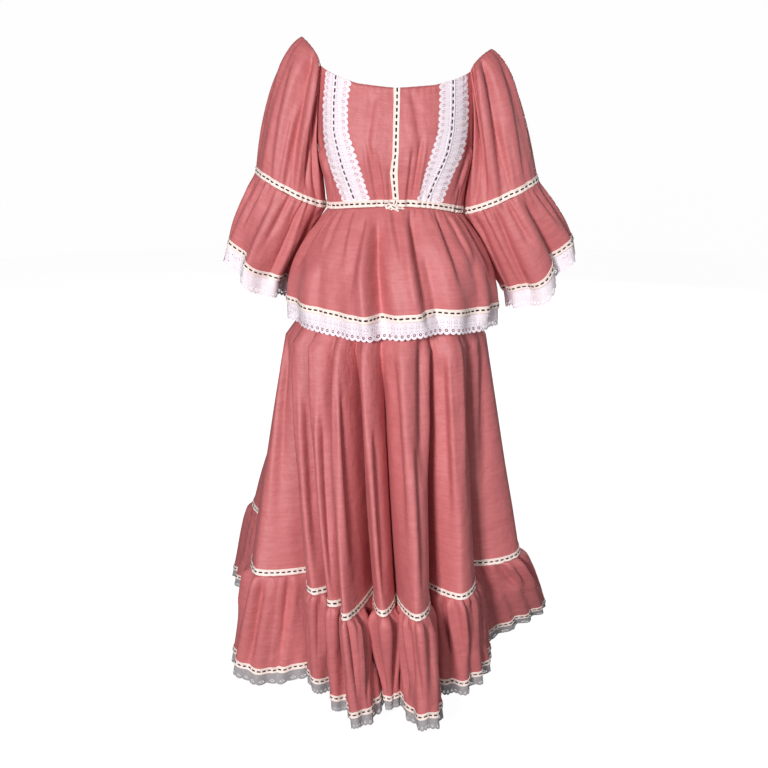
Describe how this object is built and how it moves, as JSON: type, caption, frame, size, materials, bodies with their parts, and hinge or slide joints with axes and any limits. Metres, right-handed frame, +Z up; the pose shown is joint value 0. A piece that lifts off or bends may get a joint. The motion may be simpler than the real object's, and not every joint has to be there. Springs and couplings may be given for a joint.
{
  "type": "dress",
  "caption": "Long gathered peasant dress with a wide scooped neck, flounced elbow sleeves, a peplum, a tiered skirt and lace-edged stitched braid",
  "frame": {"origin": "midway between the tops of the two shoulders, where the wearer carries the dress", "axes": "+Z up along the body, -Y out of the front, +X to the wearer's left"},
  "size_m": [0.7363, 0.6596, 1.2987],
  "materials": {
    "cloth": "soft sheen, fine crosswise weave, dusty rose",
    "lace": "matt white lace",
    "braid": "matt ivory braid with dark stitched dashes"
  },
  "bodies": {
    "root": {"bodice_back": "cloth", "bodice_front": "cloth", "center_braid": "braid", "cuff_braid_left": "braid", "cuff_braid_right": "braid", "cuff_lace_left": "lace", "cuff_lace_right": "lace", "elbow_braid_left": "braid", "elbow_braid_right": "braid", "hem_braid_back": "braid", "hem_braid_front": "braid", "hem_flounce_back": "cloth", "hem_flounce_front": "cloth", "hem_lace_back": "lace", "hem_lace_front": "lace", "lace_band_braid_left": "braid", "lace_band_braid_right": "braid", "lace_band_left": "lace", "lace_band_right": "lace", "peplum_back": "cloth", "peplum_braid_back": "braid", "peplum_braid_front": "braid", "peplum_front": "cloth", "peplum_lace_back": "lace", "peplum_lace_front": "lace", "skirt_back": "cloth", "skirt_front": "cloth", "sleeve_flounce_left": "cloth", "sleeve_flounce_right": "cloth", "sleeve_left": "cloth", "sleeve_right": "cloth", "tier_braid_back": "braid", "tier_braid_front": "braid", "waist_braid_back": "braid", "waist_braid_front": "braid"}
  },
  "joints": []
}
